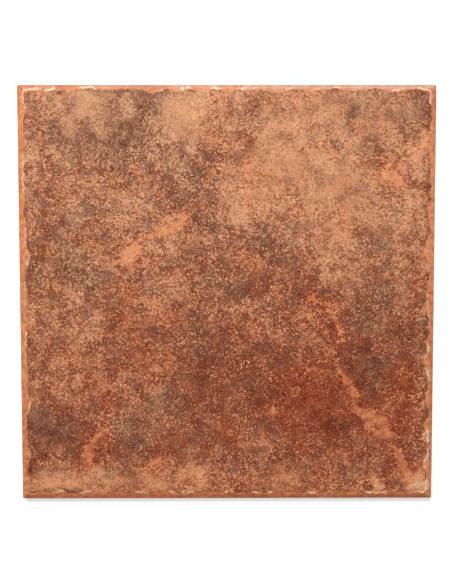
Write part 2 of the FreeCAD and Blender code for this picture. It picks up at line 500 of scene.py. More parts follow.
quads = [grid_faces(face_grid)]
for upper, lower in zip(loops[:-1], loops[1:]):
    quads.append(np.stack([upper, lower, np.roll(lower, -1), np.roll(upper, -1)], axis=1))
quads.append(grid_faces(back_grid)[:, ::-1])
last_ring = loops[-1]
back_loop = square_loop(back_grid)
joins = np.stack([
    last_ring[0::3], back_loop, np.roll(back_loop, -1),
    np.roll(last_ring, -3)[0::3], last_ring[2::3], last_ring[1::3],
], axis=1)

face_points = np.stack([face_x, face_y, face_z], axis=-1).reshape(-1, 3)
back_points = np.stack([back_x, back_y, back_z], axis=-1).reshape(-1, 3)
all_points = np.concatenate([face_points, *ring_points, back_points]) * MM
tile_mesh = bpy.data.meshes.new("pressed_tile")
tile_mesh.from_pydata(all_points.tolist(), [], np.concatenate(quads).tolist() + joins.tolist())
tile_mesh.shade_smooth()
tile_mesh.update()
pressed_tile = put_in_scene("pressed_tile", tile_mesh)
triangles = 2 * sum(len(part) for part in quads) + 4 * len(joins)
print("pressed_tile:", len(all_points), "points,", triangles, "triangles")

# %% [markdown]
# ## Tones of the worn face
# Seen from a step back the face is a drift of light and dark: buff at the upper right, umber low
# down, pale along the lower edge. An image of the tile would fix its every speck. Soft strokes
# listed one by one give the drift, and the material adds the specks, so the tile can be varied.

# %% Broad drifts and smaller patches
# Each stroke: start x, start y, end x, end y, width in mm, and how much lighter or darker it is
# in steps of 255.
broad_tones = [
    (60, 125, 115, 70, 55, 27), (-35, 145, -5, 150, 30, 24), (-135, 150, -105, 145, 28, 12),
    (-85, 60, -40, 50, 28, 10), (5, 90, 25, 80, 22, 8), (30, -70, 130, -60, 45, -26),
    (60, -105, 95, -110, 30, -8), (-20, -55, -15, -80, 28, -18), (-150, -112, -125, -112, 18, -26),
    (-150, -150, -20, -150, 11, 24), (0, -150, 100, -150, 10, 14),
]
patch_tones = [
    # upper left
    (-130, 152, -122, 140, 7, 14), (-113, 157, -103, 143, 9, 20), (-84, 140, -74, 150, 6, 16),
    (-60, 157, -84, 124, 9, -18), (-95, 146, -90, 140, 6, -8), (-105, 112, -90, 118, 14, -8),
    (-140, 125, -120, 122, 8, -8), (-135, 105, -130, 90, 8, 6), (-155, 112, -152, 100, 6, 8),
    (-118, 105, -116, 85, 6, 8), (-126, 128, -124, 115, 6, 12), (-78, 142, -74, 139, 5, 8),
    # upper middle
    (-40, 150, -10, 156, 10, 8), (-45, 128, -28, 140, 10, 12), (-28, 118, -26, 110, 6, 18),
    (-15, 140, -2, 146, 8, -6), (-55, 108, -40, 95, 8, -4), (-45, 80, -25, 74, 10, -16),
    (-20, 100, -5, 105, 10, -10), (-20, 85, -15, 120, 8, -8), (-2, 152, 2, 140, 8, -18),
    # upper right
    (18, 150, 16, 142, 6, -16), (14, 126, 18, 120, 7, -20), (8, 110, 4, 108, 5, -8), (5, 95, 14, 70, 11, 14),
    (15, 62, 10, 58, 6, 12), (36, 120, 50, 105, 9, 12), (86, 122, 88, 118, 5, -14),
    (100, 142, 104, 136, 7, -10), (104, 128, 112, 124, 8, -8), (118, 118, 122, 102, 7, -14),
    (136, 98, 138, 86, 8, -2), (148, 108, 158, 126, 7, 16), (158, 156, 156, 146, 7, -16),
    (70, 76, 66, 62, 10, 10), (80, 48, 72, 45, 8, 6), (88, 32, 80, 26, 10, 12), (95, 12, 88, 4, 9, 10),
    (106, 52, 116, 46, 7, -18), (125, 52, 130, 44, 9, -8), (118, 16, 124, 8, 8, -14),
    (110, 82, 102, 88, 8, 6), (128, 76, 120, 70, 6, -8), (158, 85, 160, 60, 5, -16),
    (22, 145, 20, 130, 7, -14), (108, 156, 112, 154, 6, 10), (100, 86, 112, 76, 8, -8),
    (128, 36, 146, 56, 8, -10),
    # middle
    (-22, 64, -12, 56, 6, -10), (-102, 68, -98, 52, 7, -8), (-48, 22, -46, 16, 5, -10),
    (28, 8, 40, -4, 10, -10), (66, -4, 86, 2, 9, -14), (-92, 58, -84, 56, 7, 8), (-70, 72, -78, 80, 8, 6),
    (-102, 62, -98, 44, 7, -12), (-122, 72, -120, 58, 6, 10), (-110, 24, -92, 24, 8, 8),
    (-128, 22, -118, 18, 9, -10), (-150, 30, -150, 48, 7, -6), (-22, 62, -28, 52, 9, -20),
    (28, 52, 30, 40, 8, -16), (40, 40, 60, 12, 14, -14), (10, 14, 16, 4, 10, -12), (-42, 8, -40, 0, 7, 14),
    (-60, -8, -52, -4, 8, 8), (-30, 28, -10, 24, 12, -8),
    # lower left
    (-115, -30, -108, -22, 7, 12), (-135, -50, -125, -55, 9, 8), (-150, -45, -148, -52, 6, -12),
    (-93, -25, -94, -58, 8, -12), (-60, -26, -55, -30, 7, -10), (-42, -42, -36, -38, 6, 10),
    (-85, -72, -80, -68, 8, 10), (-60, -75, -55, -65, 10, 6), (-35, -112, -30, -116, 9, -10),
    (-98, -128, -45, -126, 6, -16), (-60, -103, -50, -106, 6, 8), (-140, -130, -125, -130, 8, 10),
    (-158, -142, -158, -136, 5, -20), (-145, -150, -125, -153, 8, 8), (-28, -147, -22, -152, 8, 12),
    (-152, -62, -146, -64, 6, -8), (-68, -64, -66, -92, 7, -9), (-92, -144, -76, -146, 7, -14),
    (-45, -150, -42, -148, 7, -8),
    # lower right
    (140, -95, 138, -106, 8, -16), (157, -68, 157, -80, 5, 12), (156, -45, 157, -55, 6, 8),
    (64, -150, 90, -148, 8, -20), (40, -132, 60, -126, 9, -12), (149, -151, 156, -149, 4, 22),
    (152, -157, 160, -158, 3, 30), (118, -152, 124, -155, 2.5, 34), (126, -157, 128, -158, 2, 30),
    (-38, -148, -32, -150, 7, -14), (-4, -154, 4, -156, 8, -14), (-84, -149, -76, -148, 6, -8),
    (-136, -142, -122, -140, 8, -8),
    # streaks and spots in all parts
    (-131, 160, -119, 136, 4, -20), (-110, 144, -107, 128, 3.6, -16), (-140, 142, -135, 132, 4, -12),
    (68, 132, 70, 131, 3, -10), (51, 73, 52, 60, 4, -8), (86, 120, 87, 117, 3, -10),
    (-150, -126, 150, -126, 20, -6), (-130, 116, -126, 108, 6, 9), (-156, 84, -154, 76, 6, 9),
    (-88, 72, -82, 72, 6, 9), (-121, 6, -118, -2, 6, 9), (-8, 62, 20, 60, 7, 7), (38, 44, 68, 38, 7, 8),
    (124, -48, 126, -52, 6, 8), (158, -50, 160, -60, 6, 9), (148, -157, 158, -156, 4, 26),
    (66, 2, 86, -6, 6, -15), (-136, 154, -132, 152, 5, -9), (-68, 148, -60, 148, 6, -9),
    (4, 150, 24, 147, 6, -9), (153, -108, 155, -120, 6, -12), (122, -104, 128, -106, 6, -7),
    (-118, -120, -112, -120, 7, -8), (-18, -140, -12, -140, 7, -9), (18, -144, 22, -146, 7, -9),
    (-94, -22, -84, -14, 6, -7), (-156, -64, -146, -72, 7, -8), (100, 47, 102, 46, 5, -8),
    (142, 44, 148, 44, 6, -7), (-48, 56, -38, 60, 6, 9), (-78, 33, -73, 36, 6, 12),
    (-109, -126, -109, -136, 5, -15), (-124, 60, -118, 60, 6, 14), (-131, 38, -129, 36, 5, 14),
    (-40, 43, -30, 40, 5, 12), (-30, 82, -28, 92, 6, 12), (-24, 108, -26, 118, 6, 8),
    (40, 48, 55, 42, 8, 10), (5, 60, 12, 58, 5, 8), (100, 157, 116, 156, 6, 13), (130, 152, 140, 148, 6, 8),
    (-16, 6, -14, 3, 5, 11), (-62, 108, -56, 110, 6, 8), (-155, 150, -142, 128, 6, 8),
    (76, 114, 86, 116, 6, -16), (48, 122, 54, 102, 7, -10), (-12, 155, -6, 142, 6, -12),
    (-8, 126, -6, 120, 6, -10), (-49, 13, -46, 10, 4, -12), (90, 92, 118, 88, 6, -7),
    (154, 62, 156, 18, 6, -8), (4, 15, 16, 31, 6, -6), (-122, -20, -110, -24, 6, -7),
    (-76, 0, -72, -12, 6, -7), (-60, -70, -34, -72, 6, -6), (60, 73, 62, 78, 6, 6),
    # beside the left and right edges, then in the lower half
    (-157, -140, -157, 140, 6, 8), (157, -140, 157, 140, 6, 8), (75, -26, 82, -30, 6, -14),
    (62, -18, 68, -20, 6, 8), (110, -45, 120, -52, 10, -12), (150, -30, 155, -45, 8, -10),
    (150, -70, 152, -85, 8, -8), (37, -93, 37, -95, 4, 16), (20, -118, 30, -126, 11, 14),
    (85, -105, 90, -110, 12, -12), (8, -158, 20, -157, 5, -10), (122, -152, 122, -157, 5, 4),
    (135, -140, 130, -150, 7, -10),
    # faint spots, first darker and then lighter
    (50, 130, 60, 117, 8, -7), (98, 142, 102, 132, 7, -8), (84, 84, 104, 74, 9, -6),
    (-58, 145, -44, 142, 10, -7), (-4, 130, -2, 98, 7, -7), (36, 6, 44, 2, 8, -8),
    (-86, -18, -90, -36, 7, -7), (-74, -94, -64, -96, 8, -7), (152, -94, 158, -98, 7, -7),
    (74, -144, 88, -148, 8, -6), (154, -136, 158, -144, 6, -6), (-32, 82, -26, 80, 5, 11),
    (-64, 70, -56, 68, 7, 7), (-48, 104, -44, 98, 6, 7), (-119, 4, -117, -8, 5, 9),
    (-80, 150, -76, 144, 6, 8), (-120, 138, -116, 132, 5, 9), (-151, 52, -149, 40, 7, 7),
    (-137, 40, -133, 32, 6, 8), (-119, -60, -117, -70, 6, 9), (-108, -84, -102, -88, 6, 6),
    (-152, -110, -148, -120, 7, 8), (122, -46, 128, -56, 7, 7), (144, -52, 150, -50, 7, 6),
    (132, -18, 138, -22, 6, 7), (140, 46, 150, 46, 6, 6), (106, 124, 114, 120, 6, 7),
    (-2, -142, 2, -148, 6, 7),
    # corners, then scars
    (146, 154, 152, 150, 7, 15), (148, -150, 157, -148, 6, 11), (-156, -137, -153, -131, 4, -12),
    (-80, 30, -75, 35, 4, 22), (-50, 51, -42, 54, 4, 10), (142, -134, 146, -142, 4, -26),
    # slip that ran in from the edge
    (160.5, -118, 160.5, -112, 2.2, 44), (118, -160, 122, -158, 2, 36), (-137, -160, -134, -160, 1.8, 24),
    (-34, -160, -29, -160, 1.8, 24), (160, -67, 160, -62, 1.8, 20),
    # dark and light slip beside the left edge
    (-160, -144, -159.5, -135, 3.2, -24), (-159, -48, -158.5, -34, 3, -18), (-157, 17, -156, 29, 3.6, -16),
    (-158, 37, -158, 44, 2.6, -12), (-158, 108, -158, 115, 3, 16), (-157, -120, -156, -100, 4, -8),
]


def stroke_sum(x, y, strokes):
    """Adds up soft strokes: each is strongest on its line and falls off on both sides by a bell curve."""
    total = np.zeros_like(x)
    for start_x, start_y, end_x, end_y, width, amount in strokes:
        distance = stroke_distance(x, y, start_x, start_y, end_x, end_y)
        total += amount * np.exp(-(distance / width) ** 2)
    return total


# Two sizes of noise bend the strokes. The mean tone of the face and the strength of its strokes follow.
drift_x = face_x + 4 * clouds(face_x, face_y, 12, 140) + 2 * clouds(face_x, face_y, 4, 160)
drift_y = face_y + 4 * clouds(face_x, face_y, 12, 150) + 2 * clouds(face_x, face_y, 4, 170)
mean_tone, drift_strength = 122, 1.26
drifts = stroke_sum(drift_x, drift_y, broad_tones) + stroke_sum(drift_x, drift_y, patch_tones)
tone = mean_tone + drift_strength * drifts
print("tone from", tone.min().round(), "to", tone.max().round(), "mean", tone.mean().round())

# %% [markdown]
# ## Warmth of the slip
# Two slips were used, a red-brown one and a greyer taupe one, and they show in different places.
# A second set of strokes says which of them wins: above zero is redder, below zero is greyer.

# %% Warm and grey patches
warmth_strokes = [
    (45, -70, 85, -75, 26, 0.5), (60, -90, 75, -100, 16, 0.3), (85, -15, 92, -40, 7, 0.7),
    (55, -20, 70, -14, 7, 0.5), (97, -70, 103, -85, 8, 0.9), (118, -100, 122, -104, 12, 1.2),
    (136, -128, 142, -142, 9, 1.0), (-110, -130, -103, -114, 8, 1.2), (-45, 56, -36, 60, 8, 1.2),
    (-78, 34, -74, 37, 9, 1.2), (128, 97, 136, 92, 9, 1.0), (-58, -8, -45, -26, 6, 0.6),
    (-3, -110, 8, -122, 7, 0.7), (35, -93, 38, -94, 5, 0.7), (-70, -45, -62, -50, 10, 0.4),
    (-112, -70, -100, -85, 8, 0.4), (-60, -135, -55, -138, 8, 0.5), (-28, -145, -22, -152, 10, 0.5),
    (20, 105, 30, 75, 18, 0.3), (90, 60, 80, 45, 16, 0.3), (150, 112, 158, 122, 8, 0.5),
    (152, 4, 158, 30, 6, 0.6), (-105, 150, -65, 150, 20, -0.7), (-100, 120, -80, 125, 16, -0.6),
    (-135, 136, -130, 120, 14, -0.5), (-125, 24, -110, 12, 9, -1.0), (-155, 22, -150, 20, 6, -0.5),
    (-120, 70, -105, 66, 9, -0.5), (105, -28, 118, -60, 14, -0.55), (-28, -38, -20, -44, 12, -0.4),
    (-75, -90, -50, -88, 12, -0.6), (-88, -105, -70, -125, 9, -0.6), (-155, -102, -138, -110, 12, -0.7),
    (120, 38, 130, 36, 8, -0.5), (38, 32, 42, 28, 8, -0.3), (0, 8, 8, 4, 9, -0.4),
    (156, 152, 150, 145, 10, -0.7), (18, 144, 28, 144, 9, -0.4), (88, 116, 90, 120, 6, -0.5),
    (-35, 100, -32, 98, 7, -0.6), (-18, 52, -12, 60, 8, -0.4), (24, 48, 28, 44, 8, -0.5),
    (98, 140, 104, 146, 8, -0.4), (-85, -145, -95, -150, 8, -0.4), (-120, -70, 120, -80, 60, 0.25),
    (144, -62, 142, -110, 11, 0.7), (48, -105, 62, -120, 9, 0.6), (84, -130, 104, -132, 7, 0.5),
    (72, -142, 78, -150, 8, 0.4), (66, -2, 76, -10, 8, 0.5), (98, -34, 114, -40, 8, 0.5),
    (-82, 2, -78, -22, 8, 0.3), (10, 28, 22, 24, 8, 0.25), (-98, -104, -92, -118, 6, 0.3),
    (-62, -64, -58, -72, 6, 0.3), (-60, 128, -30, 105, 18, -0.25),
    (140, 145, 146, 136, 8, -0.2), (-84, 116, -46, 108, 9, -0.25), (-68, 68, -28, 82, 9, -0.3),
    (-132, 58, -128, 36, 8, -0.25), (-36, -86, -34, -90, 7, -0.35), (122, -2, 128, -10, 8, -0.35),
    (108, 156, 134, 150, 9, -0.3), (40, 52, 70, 38, 8, -0.2), (-12, -64, -4, -66, 8, -0.2),
    (-4, -104, -2, -112, 6, 0.4), (155, -90, 155, -100, 6, 0.4), (150, -145, 157, -142, 6, 0.6),
    (-90, -90, -74, -90, 7, 0.25), (-142, -88, -136, -92, 8, 0.25), (18, -24, 18, -32, 6, 0.35),
    (-8, 156, -2, 144, 6, 0.35), (26, 150, 32, 150, 5, 0.3), (48, 16, 50, 12, 8, 0.3),
    (-125, -48, -120, -52, 8, 0.25), (22, -74, 46, -48, 12, -0.3), (98, -60, 112, -86, 6, -0.35),
    (-76, 47, -72, 46, 7, -0.3), (-116, -68, -112, -74, 7, -0.3), (-110, -100, -106, -108, 6, -0.25),
    (12, 112, 14, 106, 7, -0.2), (150, 92, 156, 88, 6, -0.25), (154, 30, 155, 18, 6, -0.25),
    (148, -152, 156, -148, 6, 0.3), (-150, -154, 140, -154, 9, 0.4), (-110, -132, -40, -136, 8, 0.2),
    (86, -126, 94, -130, 6, 0.25), (72, 116, 80, 114, 6, 0.25), (98, -45, 112, -75, 9, -0.25),
    (-27, -62, -22, -64, 9, -0.25), (22, -76, 40, -80, 10, -0.2), (76, -95, 86, -108, 8, -0.2),
    (-90, -90, -50, -92, 8, 0.25), (152, -90, 158, -94, 6, 0.2), (14, 26, 26, 18, 8, 0.2),
    (30, 0, 42, -8, 8, 0.2), (-74, 4, -66, 2, 8, 0.2), (-128, 72, -122, 68, 8, 0.25),
    (-108, -62, -102, -68, 7, 0.2), (46, -150, 54, -146, 7, 0.2), (80, -8, 90, -12, 7, 0.2),
    (116, -153, 128, -157, 5, 0.5),
]
warmth = stroke_sum(drift_x, drift_y, warmth_strokes)
print("warmth from", warmth.min().round(2), "to", warmth.max().round(2))

# %% [markdown]
# ## Rims that differ
# The rim at the back is paler and less orange than the other two, the one at the front is darker and
# redder, and the beads on the left are the warmest. The lamp alone would make the back rim too
# bright and leave the hues alike, so the tone and warmth of each rim are set here, and that is mostly
# painted light: painted shade lowers the back rim's tone and a painted sheen makes it paler, while
# painted shade makes the front rim darker and redder. Each rim ends at a mitre, where it meets the
# rims beside it.

# %% Tone and warmth of the rims
rim_near = np.exp(-(from_edge / 4.5) ** 4)
back_rim_painted_shade_and_sheen, front_rim_painted_shade = rim_near * towards_back, rim_near * towards_front
left_rim = rim_near * nearest_to(-face_x, face_y)
# At the back, more painted shade makes the outermost millimetre darker still.
outermost = np.exp(-from_edge ** 2)
# Painted shade: the front rim is darker, and the back rim's tone comes down against the lamp.
tone = tone - 38 * front_rim_painted_shade - (34 + 50 * outermost) * back_rim_painted_shade_and_sheen
# Along the front, painted shade darkens the crest between the beads.
front_crest_painted_shade = towards_front * np.exp(-((from_edge - 4.8) / 1.3) ** 2)
tone = tone - 18 * front_crest_painted_shade * (1 - cream)
# On the back rim the lower warmth is a painted sheen, and on the front rim the higher warmth is the red of
# painted shade.
warmth = warmth * (1 - rim_near) + 1.2 * front_rim_painted_shade + 1.4 * left_rim - (0.9 + 0.002 * face_x) * back_rim_painted_shade_and_sheen
print("points of the back rim:", int((back_rim_painted_shade_and_sheen > 0.5).sum()), "of the front:", int((front_rim_painted_shade > 0.5).sum()))

# %% [markdown]
# ## Smooth and grainy patches
# In some places the slip lies thick and smooth, and in others it is rubbed down to grains that
# stand out one by one. A third set of strokes holds that: above zero is smoother, below is grainier.

# %% Smooth and grainy patches
smooth_strokes = [
    (-115, 152, -95, 146, 16, 0.8), (-75, 135, -90, 122, 10, 0.4), (-50, 155, -25, 135, 18, 0.8),
    (45, 150, 90, 148, 16, 0.6), (15, 105, 45, 100, 16, 0.7), (65, 95, 90, 90, 16, 0.6),
    (40, 125, 50, 115, 12, 0.6), (70, 60, 85, 50, 12, 0.5), (130, 98, 138, 90, 9, 0.8),
    (125, 148, 145, 145, 10, 0.6), (128, 46, 138, 44, 10, 0.6), (80, 25, 95, 10, 12, 0.3),
    (68, -90, 75, -100, 11, 0.7), (105, -58, 118, -62, 10, 0.7), (105, -30, 112, -35, 8, 0.5),
    (-30, -128, -15, -132, 12, 0.6), (-50, -115, -40, -118, 10, 0.5),
    (-90, -148, -55, -148, 8, 0.7), (-140, -150, -120, -152, 10, 0.4), (-155, -102, -140, -108, 11, 0.7),
    (-125, -118, -120, -122, 8, 0.5), (-30, -70, -22, -75, 10, 0.5), (-85, -15, -80, -25, 9, 0.3),
    (45, -148, 55, -150, 9, 0.4), (114, -98, 122, -104, 7, 0.6), (-15, 98, -8, 102, 10, -0.7),
    (28, -14, 40, -18, 12, -0.7), (65, -8, 78, -14, 10, -0.8), (2, -53, 8, -55, 9, -0.7),
    (132, 112, 140, 120, 10, -0.6), (-68, 118, -60, 112, 8, -0.5), (-100, -132, -98, -140, 8, -0.6),
    (-105, -35, -100, -45, 10, -0.4), (-40, 65, -36, 62, 7, -0.4), (75, 22, 82, 20, 8, -0.4),
    (-20, 12, -10, 16, 10, -0.4), (135, 80, 140, 76, 8, -0.4), (-5, 135, -8, 145, 8, -0.4),
    (158, -20, 158, -120, 10, -0.5), (140, -155, 100, -155, 8, -0.5), (146, 154, 158, 148, 9, 0.7),
    (95, 150, 125, 140, 16, 0.4), (100, 125, 115, 135, 14, 0.3), (-130, 140, -112, 126, 12, 0.5),
    (-150, -148, -60, -148, 10, 0.4), (148, -152, 156, -148, 7, 0.6), (92, 92, 112, 72, 14, 0.4),
]
smooth = stroke_sum(drift_x, drift_y, smooth_strokes)
print("smoothness from", smooth.min().round(2), "to", smooth.max().round(2))

# %% [markdown]
# ## Dark crusts along the crest
# Where slip gathered along the crest of the broken edge it burnt to a dark crust. The crusts come in
# runs too, written like those of the pale slip.

# %% Runs of dark crust
crust_runs = {
    "back": [
        (-132, -129, 0.5), (-121, -115, 0.5), (-113, -107, 0.7), (-92, -66, 0.6), (-65, -55, 0.5),
        (-50, -44, 0.7), (-42, -33, 0.4), (-30, -23, 0.9), (-15, -9, 0.7), (-8, 0, 0.6), (5, 12, 0.7),
        (18, 26, 0.5), (26, 35, 0.6), (48, 62, 0.7), (80, 90, 0.7), (117, 134, 0.7), (143, 160, 0.8),
    ],
    "right": [
        (-152, -143, 0.9), (-140, -125, 0.6), (-104, -91, 1.0), (-85, -78, 0.4), (-72, -66, 0.6),
        (-50, -42, 0.5), (-36, -29, 1.0), (-22, -15, 1.0), (-8, -2, 0.5), (15, 21, 0.9), (39, 42, 0.6),
        (50, 55, 0.7), (73, 80, 1.0), (82, 89, 1.0), (104, 116, 0.6), (128, 150, 0.9), (155, 161, 0.6),
    ],
    "front": [
        (-161, -150, 0.7), (-150, -140, 0.7), (-134, -117, 1.0), (-116, -110, 0.5), (-83, -80, 0.8),
        (-74, -68, 0.5), (-68, -62, 0.9), (-53, -44, 0.6), (-7, -2, 0.6), (3, 14, 0.6), (18, 35, 0.7),
        (38, 45, 0.4), (73, 82, 0.6), (85, 105, 0.4), (110, 120, 0.6), (138, 150, 0.8), (150, 156, 1.0),
    ],
    "left": [
        (-160, -154, 0.6), (-145, -130, 1.0), (-130, -118, 0.5), (-120, -95, 0.8), (-90, -86, 0.7),
        (-80, -70, 0.6), (-50, -42, 0.7), (-42, -30, 0.9), (-15, -8, 0.7), (5, 18, 0.9), (18, 30, 1.0),
        (35, 42, 0.7), (60, 72, 0.6), (72, 78, 0.7), (110, 118, 0.7), (122, 140, 0.7), (145, 150, 0.6),
    ],
}
# The square of a crust's strength makes the weak ones fainter still.
crust = run_strength(crust_runs) ** 2
# Beside a crust the slip is darker too, and it clears within a few millimetres.
tone = tone - 12 * crust * np.exp(-((from_foot - 2) / 2.6) ** 2)
print("points in runs of crust:", int((crust > 0).sum()))

# %% [markdown]
# ## Hand the fields to the material
# Each field becomes a number stored at every point of the mesh, so the material can read it by
# name and it stays with the piece wherever that goes. Points off the face lie outside the foot.

# %% Store the fields
# Each field: its values on the grid of the face, and its one value everywhere else.
fields = {
    "tone": (tone / 255, 0.5), "warmth": (warmth, 0), "scar": (scar, -1), "from_foot": (from_foot, -6),
    "from_bead": (from_bead, -6), "cream": (cream, 0), "crust": (crust, 0), "smooth": (smooth, 0),
}
for name, (face_values, elsewhere) in fields.items():
    values = np.full(len(all_points), elsewhere, dtype=np.float32)
    values[:face_values.size] = face_values.ravel()
    tile_mesh.attributes.new(name, "FLOAT", "POINT").data.foreach_set("value", values)
# The ribs and the border of the back are the points on its lowest level.
ribs = (all_points[:, 2] < 0.02 * MM).astype(np.float32)
tile_mesh.attributes.new("ribs", "FLOAT", "POINT").data.foreach_set("value", ribs)
print("stored:", [item.name for item in tile_mesh.attributes if item.data_type == "FLOAT"])

# %% [markdown]
# ## Colours and nodes
# Colours are written as they look on a screen and turned to linear light by one function. One
# more small function adds a node with its settings and links, and the materials are built of it.

# %% Helpers for materials


def linear(code):
    """Turns a hex colour to linear red, green, blue and alpha, by the screen's own curve."""
    shades = np.array([int(code[i:i + 2], 16) for i in (0, 2, 4)]) / 255
    light = np.where(shades <= 0.04045, shades / 12.92, ((shades + 0.055) / 1.055) ** 2.4)
    return (*light.tolist(), 1.0)


def empty_tree(owner):
    """Gives a material or a world an empty tree of nodes."""
    owner.use_nodes = True
    owner.node_tree.nodes.clear()
    return owner.node_tree


def add(kind, inputs=(), out=0, stops=(), **settings):
    """Adds a node to the tree that is being built, and gives one of its outputs.

    The inputs are values or other nodes' outputs, in a list in the node's own order or in a dict by
    name or number. The settings are the node's properties, and the stops are those of a colour ramp.
    """
    node = tree.nodes.new("ShaderNode" + kind)
    for name, value in settings.items():
        setattr(node, name, value)
    sockets = inputs if isinstance(inputs, dict) else dict(enumerate(inputs))
    for name, value in sockets.items():
        if isinstance(value, bpy.types.NodeSocket):
            tree.links.new(value, node.inputs[name])
        else:
            node.inputs[name].default_value = value
    for position, code in stops:
        if position in (0, 1):
            stop = node.color_ramp.elements[-position]
        else:
            stop = node.color_ramp.elements.new(position)
        stop.color = linear(code)
    return node.outputs[out] if node.outputs else None


print("orange clay in linear light:", np.round(linear("ce865f"), 3))

# %% [markdown]
# ## The worn, slip-washed face
# Real: terracotta pressed in a mould, washed with red-brown and taupe slips, fired and rubbed back.
# That gives a matt skin with peach specks where the high grains are bare, dark specks where slip
# stayed in pits, and smooth orange clay in the scars and on the rim.

# %% Material of the face
face_clay = bpy.data.materials.new("terracotta_slip_washed_and_worn")
tree = empty_tree(face_clay)
place = add("TexCoord", out="Object")
read = {name: add("Attribute", out="Fac", attribute_name=name) for name in fields}

# Sizes of the marks in mm: grains, single specks, flecks of rubbed slip, small spots, patches of hue,
# patches of one wash, and clouds. The grains of the real clay are about half a millimetre wide, and
# are drawn coarser to show.
grain_size, speck_size, fleck_size, spot_size = 1.1, 1.3, 1.8, 4.0
hue_size, clump_size, cloud_size = 10.0, 11.0, 24.0
# Marks read at a place far off share nothing with those that are read here.
far_off = add("VectorMath", [place, (0.7, 0.3, 0.1)], operation="ADD")
grain = add("TexNoise", {"Vector": place, "Scale": 1 / (grain_size * MM), "Detail": 1.0})
fleck = add("TexNoise", {
    "Vector": place, "Scale": 1 / (fleck_size * MM), "Detail": 2.0, "Roughness": 0.7, "Distortion": 0.3})
mist = add("TexNoise", {"Vector": far_off, "Scale": 1 / (spot_size * MM), "Detail": 2.0})
hue = add("TexNoise", {"Vector": place, "Scale": 1 / (hue_size * MM), "Detail": 3.0, "Roughness": 0.75})
clump = add("TexNoise", {
    "Vector": far_off, "Scale": 1 / (clump_size * MM), "Detail": 3.0, "Roughness": 0.75})
cloud = add("TexNoise", {"Vector": place, "Scale": 1 / (cloud_size * MM), "Detail": 1.0})
print("fields read:", list(read))

# %% [markdown]
# ### Flecks
# Rubbing takes slip off the high grains first, so a worn wash breaks up in light and dark flecks. One
# plain noise would give the same flecks all over. Here the tone of a drift decides how many show
# through, and the smooth and grainy patches decide how much they stand out.

# %% Slip rubbed through in flecks
# Map Range takes a value, the two ends of the range it has and the two ends of the range it gets,
# which are 0 and 1 where they aren't given.
cloud_tone = add("MapRange", [cloud, 0.2, 0.8, -0.06, 0.06])
# A wash dries in patches with an edge, and flecks fray that edge.
clump_edge = add("Math", [fleck, 0.35, clump], operation="MULTIPLY_ADD")
clump_tone = add("MapRange", [clump_edge, 0.59, 0.76, -1.0, 1.0], interpolation_type="SMOOTHSTEP")
clump_depth = add("MapRange", [read["tone"], 0.38, 0.60, 0.065, 0.04])
clump_tone = add("Math", [clump_tone, clump_depth], operation="MULTIPLY")
wide_tone = add("Math", [read["tone"], cloud_tone], operation="ADD")
wide_tone = add("Math", [wide_tone, clump_tone], operation="ADD")
# The lighter a drift is, the more flecks of it are rubbed through. Rubbed and unrubbed parts lie
# either side of the drift's own tone, so that its mean stays.
fleck_place = add("Math", [wide_tone, 0.9, fleck], operation="MULTIPLY_ADD")
rubbed = add("MapRange", [fleck_place, 0.84, 1.20], interpolation_type="SMOOTHSTEP")
cover = add("MapRange", [wide_tone, 0.30, 0.66, -0.04, 0.62])
rub_change = add("Math", [rubbed, cover], operation="SUBTRACT")
contrast = add("MapRange", [read["smooth"], -1.0, 1.0, 0.44, 0.10])
# Flecks stand out more in dark slip than in light.
balance = add("MapRange", [wide_tone, 0.36, 0.60, 1.3, 0.80])
contrast = add("Math", [contrast, balance], operation="MULTIPLY")
# They also crowd in some patches and are few in others.
crowding = add("MapRange", [hue, 0.34, 0.66, 0.45, 1.6])
contrast = add("Math", [contrast, crowding], operation="MULTIPLY")
total = add("Math", [rub_change, contrast, wide_tone], operation="MULTIPLY_ADD")
grain_tone = add("MapRange", [grain, 0.2, 0.8, -0.06, 0.06])
total = add("Math", [total, grain_tone], operation="ADD")
# Here and there a single grain is rubbed quite bare, and another is a pit full of dark slip.
speck_colour = add("TexNoise", {
    "Vector": far_off, "Scale": 1 / (speck_size * MM), "Detail": 1.0}, out="Color")
specks = add("SeparateColor", [speck_colour]).node.outputs
light_speck = add("MapRange", [specks[0], 0.60, 0.72, 0.0, 0.95], interpolation_type="SMOOTHSTEP")
dark_speck = add("MapRange", [specks[1], 0.40, 0.28, 0.0, -0.80], interpolation_type="SMOOTHSTEP")
speck_tone = add("Math", [light_speck, dark_speck], operation="ADD")
total = add("Math", [speck_tone, contrast, total], operation="MULTIPLY_ADD")
print("nodes for the flecks:", len(tree.nodes))

# %% [markdown]
# ### Two slips
# The red-brown and the taupe slip each run from dark to light along a ramp of their own, and the
# warmth says how much of each shows. One ramp with a tint over it would be shorter, but its darks
# and its lights couldn't differ in hue.

# %% Colour of the slip
warm_share = add("Math", [hue, 2.4, -0.8], operation="MULTIPLY_ADD")
# Lighter patches of a wash are warmer too, as the clay shows through them.
warm_share = add("Math", [clump_tone, 2.5, warm_share], operation="MULTIPLY_ADD")
warm_share = add("Math", [read["warmth"], 0.85, warm_share], operation="MULTIPLY_ADD", use_clamp=True)
red_slip = add("ValToRGB", [total], stops=[
    (0, "4a1204"), (0.2, "742710"), (0.30, "893920"), (0.40, "a15234"), (0.48, "b56644"), (0.62, "d88b61"),
    (0.75, "eca67a"), (1, "f8c096")])
grey_slip = add("ValToRGB", [total], stops=[
    (0, "3c160a"), (0.2, "632b18"), (0.30, "75412d"), (0.40, "8b5a45"), (0.48, "a16e54"), (0.62, "cd926c"),
    (0.75, "e4ae84"), (1, "f3c9a4")])
# The Mix node's colour inputs are numbers 6 and 7, and its colour output is number 2.
colour = add("Mix", {0: warm_share, 6: grey_slip, 7: red_slip}, out=2, data_type="RGBA")
dust = add("MapRange", [grain, 0.55, 0.72, 0.0, 0.06])
colour = add("Mix", {0: dust, 6: colour, 7: linear("f2cdb4")}, out=2, data_type="RGBA")
